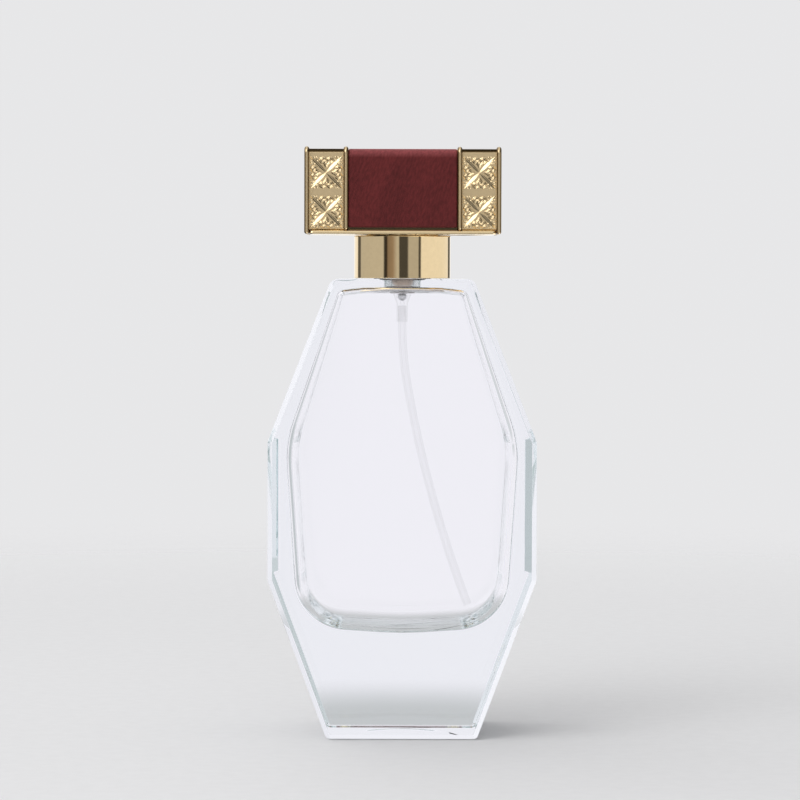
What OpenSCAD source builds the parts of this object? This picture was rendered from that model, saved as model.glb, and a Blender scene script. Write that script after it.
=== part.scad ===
// Spray perfume bottle: faceted flat glass bottle, crimped pump, gold collar and a bar-shaped cap.
// Millimetres. The origin is the centre of the base, +Z is up and the front faces -Y.

/* [Glass body] */
// Width across the straight sides
body_w = 66; // [56:1:80]
// Depth from front face to back face
body_d = 36; // [32:1:48]
// Width of the base
base_w = 37; // [30:0.5:46]
// Width of the shoulder, at its sharp corners
shoulder_w = 34.8; // [31:0.2:42]
// Height of the lower slanted sides
lower_h = 39; // [33:1:46]
// Height of the straight sides
side_h = 34; // [26:1:44]
// Height of the upper slanted sides
upper_h = 40; // [33:1:48]
// Bevel along the edges of the front and back faces
edge_bevel = 1.2; // [0.6:0.1:2]
// Radius of the shoulder corners
shoulder_r = 2.5; // [1:0.1:4]
// Width of the hollow under the base
punt_w = 24; // [16:1:27]
// Height of the hollow under the base
punt_h = 0.8; // [0.3:0.1:1.5]

/* [Glass cavity] */
// Glass under the cavity
floor_t = 25.7; // [14:0.1:28]
// Glass beside the cavity at its widest
side_wall = 4.5; // [3:0.1:7]
// Glass beside the cavity at its heel
heel_wall = 6.5; // [4:0.1:9]
// How far the cavity's top corners lie inside the shoulder corners
top_inset = 1.4; // [0.4:0.1:2.4]
// Glass in front of and behind the cavity
face_wall = 4; // [3:0.1:6]
// Glass above the cavity
ceiling_t = 3; // [2:0.1:5]
// Radius along the cavity's edges, from its widest line down
cavity_r = 4; // [2:0.1:6]
// Radius along the cavity's edges at its top
cavity_top_r = 1.6; // [1:0.1:4]
// Radius of the cavity's two bottom corners, seen from the front
heel_r = 13.5; // [9:0.1:16]
// How far the cavity's widest line lies below the upper side corners
waist_drop = 4.1; // [2:0.1:6]
// Radius of the cavity's sides along its widest line, seen from the front
waist_r = 28; // [16:1:30]
// How far the middle of the cavity's floor lies below its ends
floor_sag = 0.6; // [0:0.1:2]
// Width of the level part of the cavity's ceiling
vault_w = 19; // [14:0.5:24]
// How far the cavity's ceiling falls towards its ends
vault_drop = 0.5; // [0:0.1:2]

/* [Neck] */
// Height of the neck above the shoulder
neck_h = 9; // [8:0.1:12]
// Bore of the neck
neck_bore_d = 9.2; // [9:0.1:10.5]
// Diameter of the neck below its bead
neck_root_d = 13; // [12.4:0.1:13.8]
// Diameter of the bead that the ferrule is crimped under
bead_d = 15; // [14.6:0.1:18]
// Height of the bead
bead_h = 3.5; // [2.5:0.1:4.5]

/* [Seal and ferrule] */
// Thickness of the neck gasket
gasket_t = 1; // [0.6:0.1:1.5]
// Thickness of the ferrule's sheet
ferrule_t = 0.4; // [0.3:0.05:0.6]
// Diameter of the hole that the stem passes
ferrule_hole_d = 5.2; // [4.6:0.1:6]

/* [Pump] */
// Travel of the spray button
stroke = 4; // [3:0.1:4.5]
// Thickness of the housing's flange
flange_t = 1.2; // [0.8:0.1:1.8]
// Diameter of the pump chamber
chamber_d = 4.8; // [4.4:0.1:5.2]
// Wall of the housing
housing_wall = 0.7; // [0.5:0.05:0.9]
// Thickness of the guide ring
closure_t = 2; // [1.5:0.1:2.6]
// Wall of the guide ring round the stem
closure_wall = 1.35; // [1:0.05:1.5]
// Thickness of the seal under the guide ring
seal_t = 1; // [0.6:0.1:1.4]
// Diameter of the stem
stem_d = 3.8; // [3.2:0.1:4]
// Bore of the stem
stem_bore_d = 1.4; // [1:0.1:1.6]
// Thickness of the stem's shoulder
stem_shoulder_t = 1; // [0.6:0.1:1.4]
// Diameter of the stem's lower rod
rod_d = 2.4; // [2.2:0.1:2.6]
// Diameter of the rod's foot
foot_d = 3.6; // [3.3:0.1:3.9]
// Thickness of the rod's foot
foot_t = 0.7; // [0.5:0.1:1]
// Height of the piston
piston_h = 2; // [1.5:0.1:2.6]
// Height of the return spring at rest
spring_h = 7; // [6:0.1:8]
// Wire of the return spring
spring_wire = 0.4; // [0.3:0.05:0.5]
// Turns of the return spring
spring_turns = 4; // [3:1:5]
// Diameter of the inlet ball
ball_d = 2.2; // [2:0.1:2.4]
// Travel of the inlet ball
ball_lift = 0.7; // [0.4:0.1:0.8]
// Length of the tube holder under the pump
tail_h = 4.5; // [3.5:0.1:6]
// Wall of the tube holder
tail_wall = 0.35; // [0.3:0.05:0.6]

/* [Dip tube] */
// Outer diameter of the tube
tube_d = 2; // [1.8:0.1:2.2]
// Wall of the tube
tube_wall = 0.4; // [0.3:0.05:0.5]
// Height over which the first bend runs
bend_h = 16; // [10:1:24]
// Slant of the tube after the first bend, in degrees
bend_angle = 10; // [6:1:12]
// Gap between the tube's mouth and the cavity floor
tube_floor_gap = 6; // [3:0.1:9]
// Gap between the tube's mouth and the cavity's side
tube_side_gap = 10; // [8:0.1:13]

/* [Collar] */
// Sheet of the collar
collar_t = 0.5; // [0.4:0.05:0.7]
// Height of the wide part of the collar
collar_h = 10.6; // [9.6:0.1:11]
// Width of the ledge that the cap sits over
collar_ledge = 3; // [2:0.1:4]
// Radius of the collar's outer edges
collar_r = 0.3; // [0.1:0.05:0.4]
// Gap between ferrule and collar step
step_gap = 0.55; // [0.3:0.05:1]
// Depth of the snap ridge of the insert
snap_d = 0.5; // [0.3:0.05:0.6]

/* [Spray button] */
// Diameter of the button
button_d = 12.6; // [11.6:0.1:13.4]
// Height of the button
button_h = 11.4; // [10:0.1:14]
// Sheet of the button's shell
shell_t = 0.4; // [0.3:0.05:0.6]
// Depth of the socket on the stem
socket_h = 4.8; // [3.5:0.1:5.5]
// Diameter of the nozzle insert
nozzle_d = 3.6; // [3:0.1:4]
// Length of the nozzle insert
nozzle_len = 2.8; // [2.2:0.1:3.2]
// Diameter of the spray hole
orifice_d = 0.4; // [0.3:0.05:0.6]
// Distance from the button's top to the nozzle's centre
nozzle_drop = 3.6; // [3:0.1:4.2]

/* [Cap] */
// Wall of the cap's liner
liner_t = 1.1; // [0.8:0.1:1.5]
// Wall of the core in front of and behind the liner
core_wall = 1.45; // [1:0.05:3]
// Wall of the core beside the liner
core_side_wall = 3.1; // [2.4:0.1:6]
// Roof of the core
core_roof = 1.25; // [0.8:0.05:3]
// Radius of the core's long upper edges
core_r = 1; // [0.5:0.1:2]
// Thickness of the leather
leather_t = 1.2; // [0.8:0.1:1.6]
// How far the rims of the end blocks stand over the leather
rim_over_leather = 0.55; // [0.2:0.05:1]
// Width of an end block
end_w = 10.8; // [9:0.1:14]
// Thickness of an end block's rim
rim_t = 1.2; // [0.8:0.1:1.6]
// How far the rims stand over the panel between them
rim_proud = 1; // [0.5:0.1:1.4]
// Corner radius of the rims
rim_r = 1.6; // [0.6:0.1:2.4]
// Thickness of the base plate
plate_t = 1; // [0.6:0.1:1.6]
// Gap between the leather's lower edge and the base plate
leather_lift = 0.6; // [0.3:0.05:1]
// Diameter of the pegs that hold the end blocks
peg_d = 2; // [1.4:0.1:2.6]
// Length of the pegs
peg_len = 4; // [2.5:0.1:5]

/* [Ornament] */
// Margin between the ornament squares and the rims
tile_margin = 0.2; // [0.1:0.1:0.8]
// Gap between the two squares on the front and on the back
tile_gap = 1.6; // [0.6:0.1:2.4]
// Gap between the three squares on the top
top_tile_gap = 0.4; // [0.2:0.1:0.8]
// How far the squares lie below the middle of the panel
tile_drop = 0.45; // [0:0.05:0.6]
// Height of the relief
relief_t = 0.5; // [0.3:0.05:0.8]

/* [Clearances] */
// Radial room of pressed and glued pieces
fit_gap = 0.05; // [0.02:0.01:0.1]
// Radial room of sliding and turning pieces
run_gap = 0.04; // [0.02:0.01:0.1]
// Radial room between liner and collar step
grip_gap = 0.15; // [0.05:0.01:0.3]
// Room between the cap's underside and the collar's ledge
seat_gap = 0.25; // [0.1:0.05:0.5]
// Room under the button when it is pressed home
press_gap = 0.6; // [0.3:0.1:1]
// How far the collar's lip stands over the button's lower edge
lip_overlap = 0.4; // [0.2:0.1:1]
// Room between button and collar lip
lip_gap = 0.3; // [0.2:0.05:0.6]
// Room between button and cap
cap_gap = 0.65; // [0.4:0.05:1.5]
// Room between collar and shoulder
collar_gap = 0.1; // [0.05:0.05:0.4]

/* [Hidden] */
$fn = 48;

// Overlap that makes a cut run clean through a face
cut = 1;

// Levels of the bottle and its neck
waist_z = lower_h + side_h;
shoulder_z = waist_z + upper_h;
neck_top_z = shoulder_z + neck_h;
bead_z = neck_top_z - bead_h;
cavity_top_z = shoulder_z - ceiling_t;

// Levels of the sealed neck
gasket_top_z = neck_top_z + gasket_t;
flange_top_z = gasket_top_z + flange_t;
ferrule_top_z = flange_top_z + ferrule_t;

// Levels and sizes inside the pump
closure_d = stem_d + 2 * run_gap + 2 * closure_wall;
seat_z = flange_top_z - closure_t - seal_t;
stem_shoulder_z = seat_z - fit_gap - stem_shoulder_t;
piston_z = stem_shoulder_z - piston_h;
foot_z = piston_z - foot_t;
chamber_floor_z = foot_z - spring_h;
head_d = closure_d + 2 * fit_gap + 2 * housing_wall;
barrel_d = chamber_d + 2 * housing_wall;
chamber_floor_t = 0.8;
barrel_z = chamber_floor_z - chamber_floor_t;
head_z = seat_z - housing_wall - (head_d - barrel_d) / 2;

// Inlet valve: a pocket with a retaining lip over a conical seat
pocket_r = ball_d / 2 + 0.3;
pocket_lip_r = ball_d / 2 - 0.1;
pocket_lip_t = 0.4;
inlet_r = ball_d / 4;
pocket_top_z = chamber_floor_z - pocket_lip_t;
ball_lip_reach = sqrt(pow(ball_d / 2, 2) - pow(pocket_lip_r, 2));
ball_z = pocket_top_z - ball_lip_reach - ball_lift - 0.3;
seat_tip_z = ball_z - fit_gap - ball_d / 2 * sqrt(2);
seat_top_z = seat_tip_z + pocket_r;
inlet_z = seat_tip_z + inlet_r;

// Tube holder under the valve
tail_r = tube_d / 2 + fit_gap + tail_wall;
valve_r = pocket_r + 0.8;
valve_step_h = 0.7;
cone_z = barrel_z - valve_step_h;
tail_top_z = inlet_z - valve_step_h;
socket_top_z = inlet_z - 1.25;
tail_z = tail_top_z - tail_h;

// Collar and ferrule radii, outwards from the neck's bead
ferrule_in_r = bead_d / 2 + fit_gap;
ferrule_out_r = ferrule_in_r + ferrule_t;
crimp_r = (bead_d + neck_root_d) / 4;
step_r = ferrule_out_r + step_gap + collar_t;
collar_out_r = step_r + collar_ledge;
collar_z = shoulder_z + collar_gap;
ledge_z = collar_z + collar_h;
crimp_foot_z = bead_z - fit_gap - (ferrule_in_r - crimp_r) - ferrule_t * sqrt(2);

// Button levels
button_z = ferrule_top_z + stroke + press_gap;
button_top_z = button_z + button_h;
stem_top_z = button_z + socket_h;
nozzle_z = button_top_z - nozzle_drop;
core_d = button_d - 2 * shell_t - 2 * fit_gap;
lip_top_z = button_z + lip_overlap;
lip_r = button_d / 2 + lip_gap;

// Cap sizes, outwards and upwards from the collar's step
liner_in_r = step_r + grip_gap;
liner_out_r = liner_in_r + liner_t;
bore_r = liner_out_r + fit_gap;
cap_z = ledge_z + seat_gap;
plate_top_z = cap_z + plate_t;
liner_roof_z = button_top_z + cap_gap;
liner_top_z = liner_roof_z + liner_t;
core_top_z = liner_top_z + fit_gap + core_roof;
core_half_d = bore_r + core_wall;
core_half_w = bore_r + core_side_wall;
leather_half_d = core_half_d + fit_gap + leather_t;
leather_top_z = core_top_z + fit_gap + leather_t;
leather_z = plate_top_z + leather_lift;
rim_half_d = leather_half_d + rim_over_leather;
rim_top_z = leather_top_z + rim_over_leather;
panel_half_d = rim_half_d - rim_proud;
panel_top_z = rim_top_z - rim_proud;
cap_half_w = core_half_w + end_w;
panel_x = core_half_w + end_w / 2;
tile = end_w - 2 * rim_t - 2 * tile_margin;
tile_z = (plate_top_z + panel_top_z) / 2 - tile_drop;
peg_y = bore_r - peg_d / 2;
peg_z = (plate_top_z + core_top_z) / 2;

// Cavity half sizes
cavity_half_d = body_d / 2 - face_wall;
cavity_half_w = body_w / 2 - side_wall;
heel_half_w = body_w / 2 - heel_wall;
cavity_top_half_w = shoulder_w / 2 - top_inset;

// Points of an arc, from one angle to another
function arc(centre, r, from, to, steps) =
    [for (i = [0:steps]) let (a = from + (to - from) * i / steps) centre + r * [cos(a), sin(a)]];

// Front outline of the glass, clockwise from the base's left corner, with rounded shoulder corners
shoulder_steps = 4;
slant = atan2(upper_h, (body_w - shoulder_w) / 2);
round_reach = shoulder_r * tan(slant / 2);
left_shoulder = arc([round_reach - shoulder_w / 2, shoulder_z - shoulder_r], shoulder_r, 90 + slant, 90,
                    shoulder_steps);
right_shoulder = [for (i = [shoulder_steps:-1:0]) [-left_shoulder[i][0], left_shoulder[i][1]]];
glass_outline = concat(
    [[-base_w / 2, 0], [-body_w / 2, lower_h], [-body_w / 2, waist_z]],
    left_shoulder,
    right_shoulder,
    [[body_w / 2, waist_z], [body_w / 2, lower_h], [base_w / 2, 0]]
);

// Unit vector to the right of the way from one point to the next, which is inwards on a clockwise outline
function inward(from, to) = let (along = (to - from) / norm(to - from)) [along[1], -along[0]];

// Outline with every side moved inwards
function inset(points, by) =
    let (n = len(points))
    [for (i = [0:n - 1])
        let (
            before = inward(points[(i + n - 1) % n], points[i]),
            after = inward(points[i], points[(i + 1) % n])
        )
        points[i] + by * (before + after) / (1 + before * after)];

// Upright slab with the given front outline, centred on the XZ plane
module slab(points, depth) {
    rotate([90, 0, 0])
        linear_extrude(depth, center = true)
            polygon(points);
}

// Round disc that stands facing the front, with the cavity's edge radius round its rim
module cavity_disc(r) {
    rotate([90, 0, 0])
        rotate_extrude($fn = 40)
            translate([r - cavity_r, 0])
                circle(cavity_r, $fn = 20);
}

// Blown cavity: rounded edges, vaulted towards the neck, with soft sides, two large heel curves and a sagging floor
module cavity() {
    y = cavity_half_d - cavity_r;
    top_y = cavity_half_d - cavity_top_r;
    hull() {
        for (sy = [-1, 1]) {
            for (sx = [-1, 1]) {
                translate([sx * (vault_w / 2 - cavity_top_r), sy * top_y, cavity_top_z - cavity_top_r])
                    sphere(cavity_top_r, $fn = 24);
                translate([sx * (cavity_top_half_w - cavity_top_r), sy * top_y,
                           cavity_top_z - vault_drop - cavity_top_r])
                    sphere(cavity_top_r, $fn = 24);
                translate([sx * (cavity_half_w - waist_r), sy * y, waist_z - waist_drop])
                    cavity_disc(waist_r);
                translate([sx * (heel_half_w - heel_r), sy * y, floor_t + floor_sag + heel_r])
                    cavity_disc(heel_r);
            }
            translate([0, sy * y, floor_t + cavity_r])
                sphere(cavity_r, $fn = 24);
        }
    }
}

// Neck with its bead, revolved
module neck() {
    edge = 0.4;
    bead_r = bead_d / 2;
    root_r = neck_root_d / 2;
    rotate_extrude()
        polygon([
            [0, shoulder_z - ceiling_t / 2],
            [root_r, shoulder_z - ceiling_t / 2],
            [root_r, bead_z - (bead_r - root_r)],
            [bead_r, bead_z],
            [bead_r, neck_top_z - edge],
            [bead_r - edge, neck_top_z],
            [0, neck_top_z]
        ]);
}

module glass_bottle() {
    punt_sphere_r = (pow(punt_w / 2, 2) + pow(punt_h, 2)) / (2 * punt_h);
    color([0.93, 0.95, 0.96, 0.35])
        difference() {
            union() {
                hull() {
                    slab(glass_outline, body_d - 2 * edge_bevel);
                    slab(inset(glass_outline, edge_bevel), body_d);
                }
                neck();
            }
            cavity();
            translate([0, 0, cavity_top_z - cavity_r])
                cylinder(d = neck_bore_d, h = neck_h + ceiling_t + cavity_r + cut);
            translate([0, 0, punt_h - punt_sphere_r])
                sphere(punt_sphere_r);
        }
}

module neck_gasket() {
    color([0.9, 0.9, 0.88])
        translate([0, 0, neck_top_z])
            difference() {
                cylinder(r = ferrule_in_r - fit_gap, h = gasket_t);
                translate([0, 0, -cut])
                    cylinder(d = neck_bore_d, h = gasket_t + 2 * cut);
            }
}

// Moulded pump body: flange, head, barrel, inlet valve and tube holder
module pump_housing() {
    color([0.9, 0.9, 0.92, 0.6])
        rotate_extrude()
            difference() {
                polygon([
                    [0, tail_z],
                    [tail_r, tail_z],
                    [tail_r, tail_top_z],
                    [valve_r, cone_z],
                    [valve_r, barrel_z],
                    [barrel_d / 2, barrel_z],
                    [barrel_d / 2, head_z],
                    [head_d / 2, head_z + (head_d - barrel_d) / 2],
                    [head_d / 2, gasket_top_z],
                    [ferrule_in_r - fit_gap, gasket_top_z],
                    [ferrule_in_r - fit_gap, flange_top_z],
                    [0, flange_top_z]
                ]);
                polygon([
                    [-cut, tail_z - cut],
                    [tube_d / 2 + fit_gap, tail_z - cut],
                    [tube_d / 2 + fit_gap, socket_top_z],
                    [inlet_r, socket_top_z],
                    [inlet_r, inlet_z],
                    [pocket_r, seat_top_z],
                    [pocket_r, pocket_top_z],
                    [pocket_lip_r, pocket_top_z],
                    [pocket_lip_r, chamber_floor_z],
                    [chamber_d / 2, chamber_floor_z],
                    [chamber_d / 2, seat_z],
                    [closure_d / 2 + fit_gap, seat_z],
                    [closure_d / 2 + fit_gap, flange_top_z + cut],
                    [-cut, flange_top_z + cut]
                ]);
            }
}

// Route of the suction tube in the XZ plane, as [x, z, slant]: straight in its holder, then two tangent
// bends towards the foot of the cavity
tube_sides = 12;
first_steps = 5;
second_steps = 9;
mouth_x = heel_half_w - tube_side_gap;
mouth_z = floor_t + tube_floor_gap;
first_r = bend_h / sin(bend_angle);
knee = [first_r * (1 - cos(bend_angle)), tail_z - bend_h];
mouth_angle = 2 * atan2(mouth_x - knee[0], knee[1] - mouth_z) - bend_angle;
second_r = (knee[1] - mouth_z) / (sin(mouth_angle) - sin(bend_angle));
function bend(start, r, from, to, steps) =
    [for (i = [1:steps]) let (a = from + (to - from) * i / steps)
        [start[0] + r * (cos(from) - cos(a)), start[1] - r * (sin(a) - sin(from)), a]];
tube_route = concat(
    [[0, socket_top_z - fit_gap, 0], [0, tail_z, 0]],
    bend([0, tail_z], first_r, 0, bend_angle, first_steps),
    bend(knee, second_r, bend_angle, mouth_angle, second_steps)
);

// Ring of points round one place of the route
function tube_ring(place, r) =
    [for (k = [0:tube_sides - 1])
        let (b = 360 * k / tube_sides, out = r * cos(b))
        [place[0] + out * cos(place[2]), r * sin(b), place[1] + out * sin(place[2])]];

// Faces between two rings of points, given their first points
function band(a, b, n) =
    [for (k = [0:n - 1]) let (m = (k + 1) % n) each [[a + k, b + k, a + m], [a + m, b + k, b + m]]];

module dip_tube() {
    n = tube_sides;
    rings = len(tube_route);
    outer = [for (place = tube_route) each tube_ring(place, tube_d / 2)];
    inner = [for (place = tube_route) each tube_ring(place, tube_d / 2 - tube_wall)];
    bore = rings * n;
    last = (rings - 1) * n;
    faces = concat(
        [for (i = [0:rings - 2]) each band((i + 1) * n, i * n, n)],
        [for (i = [0:rings - 2]) each band(bore + i * n, bore + (i + 1) * n, n)],
        band(0, bore, n),
        band(bore + last, last, n)
    );
    color([0.95, 0.95, 0.97, 0.6])
        polyhedron(concat(outer, inner), faces);
}

module inlet_ball() {
    color([0.8, 0.8, 0.82])
        translate([0, 0, ball_z])
            sphere(d = ball_d);
}

// Helix of the return spring, with its ends against the chamber floor and the foot of the rod
spring_rings = 8;
spring_sides = 6;
spring_r = chamber_d / 2 - 2 * run_gap - fit_gap - spring_wire / 2;
spring_count = spring_rings * spring_turns;
spring_rise = spring_h - spring_wire - 2 * fit_gap;
function spring_point(i) =
    let (a = 360 * i / spring_rings)
    [spring_r * cos(a), spring_r * sin(a), spring_rise * i / spring_count];
function spring_ring(i) =
    let (a = 360 * i / spring_rings)
    [for (k = [0:spring_sides - 1])
        let (b = 360 * k / spring_sides, out = spring_r + spring_wire / 2 * cos(b))
        [out * cos(a), out * sin(a), spring_point(i)[2] + spring_wire / 2 * sin(b)]];
spring_gap = min([for (i = [0:spring_count - spring_rings])
    norm(spring_point(i + spring_rings) - spring_point(i))]) - spring_wire;
echo(spring_gap = spring_gap);

module return_spring() {
    n = spring_sides;
    points = [for (i = [0:spring_count]) each spring_ring(i)];
    sides = [for (i = [0:spring_count - 1]) each band((i + 1) * n, i * n, n)];
    first = [for (k = [1:n - 2]) [0, k + 1, k]];
    end = spring_count * n;
    last = [for (k = [1:n - 2]) [end, end + k, end + k + 1]];
    color([0.7, 0.7, 0.72])
        translate([0, 0, chamber_floor_z + fit_gap + spring_wire / 2])
            polyhedron(points, concat(sides, first, last));
}

module piston() {
    color([0.95, 0.95, 0.95])
        translate([0, 0, piston_z])
            difference() {
                cylinder(d = chamber_d - 2 * run_gap, h = piston_h);
                translate([0, 0, -cut])
                    cylinder(d = rod_d + 2 * fit_gap, h = piston_h + 2 * cut);
            }
}

// Hollow stem with a stop shoulder, a lower rod through the piston and a foot for the spring
module valve_stem() {
    inlet_hole_d = 0.8;
    inlet_hole_z = piston_z + piston_h / 2;
    floor_z = inlet_hole_z - inlet_hole_d;
    color([0.92, 0.92, 0.93])
        difference() {
            rotate_extrude()
                polygon([
                    [0, foot_z],
                    [foot_d / 2, foot_z],
                    [foot_d / 2, piston_z - fit_gap],
                    [rod_d / 2, piston_z - fit_gap],
                    [rod_d / 2, stem_shoulder_z + fit_gap],
                    [chamber_d / 2 - 4 * run_gap, stem_shoulder_z + fit_gap],
                    [chamber_d / 2 - 4 * run_gap, stem_shoulder_z + stem_shoulder_t],
                    [stem_d / 2, stem_shoulder_z + stem_shoulder_t],
                    [stem_d / 2, stem_top_z],
                    [0, stem_top_z]
                ]);
            translate([0, 0, floor_z])
                cylinder(d = stem_bore_d, h = stem_top_z - floor_z + cut);
            translate([0, 0, inlet_hole_z])
                rotate([90, 0, 0])
                    cylinder(d = inlet_hole_d, h = rod_d + 2 * cut, center = true);
        }
}

// Ring round the stem, between two levels
module stem_ring(z, t) {
    translate([0, 0, z])
        difference() {
            cylinder(d = closure_d, h = t);
            translate([0, 0, -cut])
                cylinder(d = stem_d + 2 * run_gap, h = t + 2 * cut);
        }
}

module stem_seal() {
    color([0.25, 0.25, 0.26])
        stem_ring(seat_z, seal_t);
}

module housing_closure() {
    color([0.9, 0.9, 0.9])
        stem_ring(seat_z + seal_t, closure_t);
}

// Thin aluminium cup over the pump's flange, crimped inwards under the bead
module crimp_ferrule() {
    lip = ferrule_t * sqrt(2);
    under_z = bead_z - fit_gap;
    color([0.82, 0.82, 0.84])
        rotate_extrude()
            polygon([
                [ferrule_hole_d / 2, flange_top_z],
                [ferrule_in_r, flange_top_z],
                [ferrule_in_r, under_z],
                [crimp_r, under_z - (ferrule_in_r - crimp_r)],
                [crimp_r, crimp_foot_z],
                [ferrule_out_r, under_z - lip + ferrule_t],
                [ferrule_out_r, ferrule_top_z],
                [ferrule_hole_d / 2, ferrule_top_z]
            ]);
}

// Moulded ring that fills the collar and snaps under the crimped edge
module collar_insert() {
    in_r = ferrule_out_r + fit_gap;
    out_r = collar_out_r - collar_t - fit_gap;
    snap_z = crimp_foot_z - fit_gap;
    snap_r = ferrule_out_r - snap_d;
    color([0.9, 0.9, 0.88])
        rotate_extrude()
            polygon([
                [in_r, collar_z],
                [snap_r, snap_z - snap_d],
                [snap_r, snap_z],
                [in_r, snap_z + snap_d],
                [in_r, ledge_z - collar_t - fit_gap],
                [out_r, ledge_z - collar_t - fit_gap],
                [out_r, collar_z]
            ]);
}

// Drawn gold sleeve: wide lower part, ledge, narrow step and a lip round the button
module collar() {
    out_r = collar_out_r;
    outside = concat(
        [[out_r - collar_t, collar_z], [out_r, collar_z]],
        arc([out_r - collar_r, ledge_z - collar_r], collar_r, 0, 90, 3),
        [[step_r, ledge_z]],
        arc([step_r - collar_r, lip_top_z - collar_r], collar_r, 0, 90, 3)
    );
    inside = [
        [lip_r, lip_top_z],
        [lip_r, lip_top_z - collar_t],
        [step_r - collar_t, lip_top_z - collar_t],
        [step_r - collar_t, ledge_z - collar_t],
        [out_r - collar_t, ledge_z - collar_t]
    ];
    color([0.85, 0.74, 0.5])
        rotate_extrude()
            polygon(concat(outside, inside));
}

// Inner part of the button: stem socket, feed channel and the bore for the nozzle
module actuator_core() {
    channel_d = stem_bore_d;
    nozzle_back = button_d / 2 - nozzle_len;
    color([0.92, 0.92, 0.92])
        difference() {
            translate([0, 0, button_z])
                cylinder(d = core_d, h = button_h - shell_t - fit_gap);
            translate([0, 0, button_z - cut])
                cylinder(d = stem_d + 2 * run_gap, h = socket_h + fit_gap + cut);
            translate([0, 0, stem_top_z])
                cylinder(d = channel_d, h = nozzle_z - stem_top_z + channel_d / 2);
            translate([0, 0, nozzle_z])
                rotate([90, 0, 0])
                    cylinder(d = channel_d, h = button_d);
            translate([0, fit_gap - nozzle_back, nozzle_z])
                rotate([90, 0, 0])
                    cylinder(d = nozzle_d + 2 * fit_gap, h = button_d);
        }
}

// Gold cup over the button, with a round window for the nozzle
module actuator_shell() {
    edge = shell_t;
    out_r = button_d / 2;
    color([0.85, 0.74, 0.5])
        difference() {
            rotate_extrude()
                polygon(concat(
                    [[out_r - shell_t, button_z], [out_r, button_z]],
                    arc([out_r - edge, button_top_z - edge], edge, 0, 90, 3),
                    [[0, button_top_z], [0, button_top_z - shell_t], [out_r - shell_t, button_top_z - shell_t]]
                ));
            translate([0, 0, nozzle_z])
                rotate([90, 0, 0])
                    cylinder(d = nozzle_d + 2 * fit_gap, h = button_d);
        }
}

// Spray insert: a cup with a fine hole in its front face
module nozzle_insert() {
    front = button_d / 2 - shell_t / 2;
    back = button_d / 2 - nozzle_len;
    face_t = 0.6;
    color([0.94, 0.94, 0.94])
        translate([0, -back, nozzle_z])
            rotate([90, 0, 0])
                difference() {
                    cylinder(d = nozzle_d, h = front - back);
                    translate([0, 0, -cut])
                        cylinder(d = nozzle_d / 2, h = front - back - face_t + cut);
                    cylinder(d = orifice_d, h = front - back + cut);
                }
}

// Sleeve with a closed top that slips over the collar's step
module cap_liner() {
    color([0.93, 0.93, 0.93])
        difference() {
            translate([0, 0, cap_z + fit_gap])
                cylinder(r = liner_out_r, h = liner_top_z - cap_z - fit_gap);
            translate([0, 0, cap_z - cut])
                cylinder(r = liner_in_r, h = liner_roof_z - cap_z + cut);
        }
}

// Section of the bar, seen from its end: square feet and rounded upper corners
module bar_section(half_d, z, top_z, r) {
    polygon(concat(
        [[half_d, z]],
        arc([half_d - r, top_z - r], r, 0, 90, 6),
        arc([r - half_d, top_z - r], r, 90, 180, 6),
        [[-half_d, z]]
    ));
}

// Stretch of the bar with the section above
module bar(x, w, half_d, z, top_z, r) {
    translate([x, 0, 0])
        rotate([90, 0, 90])
            linear_extrude(w)
                bar_section(half_d, z, top_z, r);
}

// Pegs or their sockets on one end of the core
module pegs(side, d, len) {
    for (sy = [-1, 1])
        translate([side * core_half_w, sy * peg_y, peg_z])
            rotate([0, -90 * side, 0])
                cylinder(d = d, h = len);
}

module cap_core() {
    color([0.15, 0.15, 0.15])
        difference() {
            bar(-core_half_w, 2 * core_half_w, core_half_d, plate_top_z, core_top_z, core_r);
            translate([0, 0, plate_top_z - cut])
                cylinder(r = bore_r, h = liner_top_z + fit_gap - plate_top_z + cut);
            for (side = [-1, 1])
                pegs(side, peg_d + 2 * fit_gap, peg_len + fit_gap);
        }
}

// Thin gold plate that closes the bar's underside and shows as a ledge
module cap_base_plate() {
    half_w = cap_half_w - rim_t - fit_gap;
    color([0.82, 0.7, 0.45])
        difference() {
            translate([-half_w, -rim_half_d, cap_z])
                cube([2 * half_w, 2 * rim_half_d, plate_t]);
            translate([0, 0, cap_z - cut])
                cylinder(r = bore_r, h = plate_t + 2 * cut);
        }
}

// Leather band over the front, top and back of the core
module leather_wrap() {
    half_w = core_half_w - fit_gap;
    in_r = core_r + fit_gap;
    color([0.36, 0.14, 0.15])
        difference() {
            bar(-half_w, 2 * half_w, leather_half_d, leather_z, leather_top_z, in_r + leather_t);
            bar(-half_w - cut, 2 * half_w + 2 * cut, core_half_d + fit_gap, leather_z - cut,
                core_top_z + fit_gap, in_r);
        }
}

// Pointed leaf from one point to another: the lens between two arcs
module leaf(from, to, w) {
    len = norm(to - from);
    r = (len * len + w * w) / (4 * w);
    translate((from + to) / 2)
        rotate(atan2(to[1] - from[1], to[0] - from[0]))
            intersection() {
                translate([0, r - w / 2])
                    circle(r);
                translate([0, w / 2 - r])
                    circle(r);
            }
}

// Palmette in the upper field of an ornament square: a bud between two stems that end in curls, with lobes
module palmette() {
    u = tile / 100;
    leaf([0, 11] * u, [0, 33] * u, 11 * u);
    for (sx = [-1, 1]) {
        leaf([sx * 4, 12] * u, [sx * 21, 38] * u, 7 * u);
        translate([sx * 12, 37] * u)
            difference() {
                circle(9.5 * u);
                circle(4.5 * u);
            }
        translate([sx * 24, 41] * u)
            circle(5 * u);
        translate([sx * 5, 45] * u)
            circle(4 * u);
    }
}

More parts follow.
